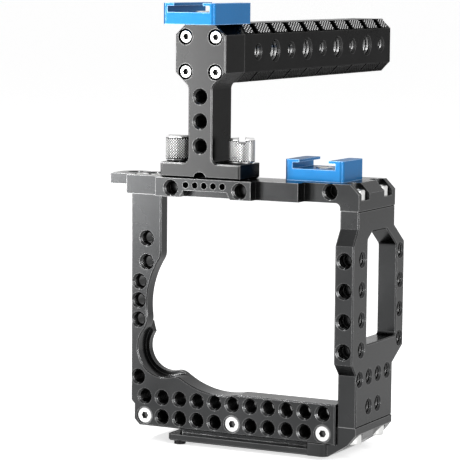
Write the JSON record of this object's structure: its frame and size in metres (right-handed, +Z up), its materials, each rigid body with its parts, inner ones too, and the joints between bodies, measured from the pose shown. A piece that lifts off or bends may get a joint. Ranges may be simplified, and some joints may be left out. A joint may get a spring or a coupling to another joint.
{
  "type": "camera cage with top handle",
  "caption": "Machined metal camera cage with tapped hole grids, a side frame with a window, a base with a quick-release rail, cold shoes and a screwed-on top handle with a long grip.",
  "frame": {"origin": "middle of the footprint of the bounding box, on the surface the cage stands on", "axes": "+Z up; +X toward the closed side frame with the window, the right-hand side when the lens opening is seen from the front; +Y to the back of the camera, the way the grip points"},
  "size_m": [0.1126, 0.1778, 0.1832],
  "materials": {
    "black_anodised_cage": "black anodised over a fine bead blast, bright broken edges",
    "black_anodised_handle": "black anodised, fine bead blast",
    "black_anodised_grip": "black anodised, knurled on its slanting faces",
    "blue_anodised_shoe": "bright blue anodised with polished edges",
    "silver_screw": "nickel plated, satin",
    "silver_thumbscrew": "stainless steel, diamond knurl",
    "black_pin": "black oxide steel"
  },
  "bodies": {
    "cage": {"base_plate": "black_anodised_cage", "base_stop_pin": "black_pin", "front_plate": "black_anodised_cage", "side_frame": "black_anodised_cage", "top_plate": "black_anodised_cage", "cage_shoe": "blue_anodised_shoe", "cage_shoe_screw": "silver_screw", "front_plate_screw_left": "silver_screw", "front_plate_screw_middle": "silver_screw", "front_plate_screw_right": "silver_screw", "side_base_screw_front": "silver_screw", "side_top_screw_front": "silver_screw", "side_base_screw_rear": "silver_screw", "side_top_screw_rear": "silver_screw", "column_screw_left": "silver_screw", "column_screw_right": "silver_screw"},
    "camera_screw": {"camera_screw": "silver_screw", "camera_screw_clip": "silver_screw"},
    "handle": {"handle_post": "black_anodised_handle", "handle_grip": "black_anodised_grip", "handle_shoe": "blue_anodised_shoe", "handle_shoe_screw": "silver_screw", "grip_screw_lower_left": "silver_screw", "grip_screw_lower_right": "silver_screw", "grip_screw_upper_left": "silver_screw", "grip_screw_upper_right": "silver_screw"},
    "thumbscrew_left": {"thumbscrew_left": "silver_thumbscrew"},
    "thumbscrew_right": {"thumbscrew_right": "silver_thumbscrew"}
  },
  "joints": [
    {"name": "camera_screw_turn", "type": "hinge", "parent": "cage", "child": "camera_screw", "pos_m": [-0.00363, -0.0457, 0.008], "axis": [0, 0, 1], "continuous": true},
    {"name": "handle_lift", "type": "slide", "parent": "cage", "child": "handle", "axis": [0, 0, 1], "range_m": [0, 0.03]},
    {"name": "thumbscrew_left_turn", "type": "hinge", "parent": "handle", "child": "thumbscrew_left", "pos_m": [-0.02432, -0.06941, 0.12], "axis": [0, 0, 1], "continuous": true},
    {"name": "thumbscrew_right_turn", "type": "hinge", "parent": "handle", "child": "thumbscrew_right", "pos_m": [0.00487, -0.06941, 0.12], "axis": [0, 0, 1], "continuous": true}
  ]
}
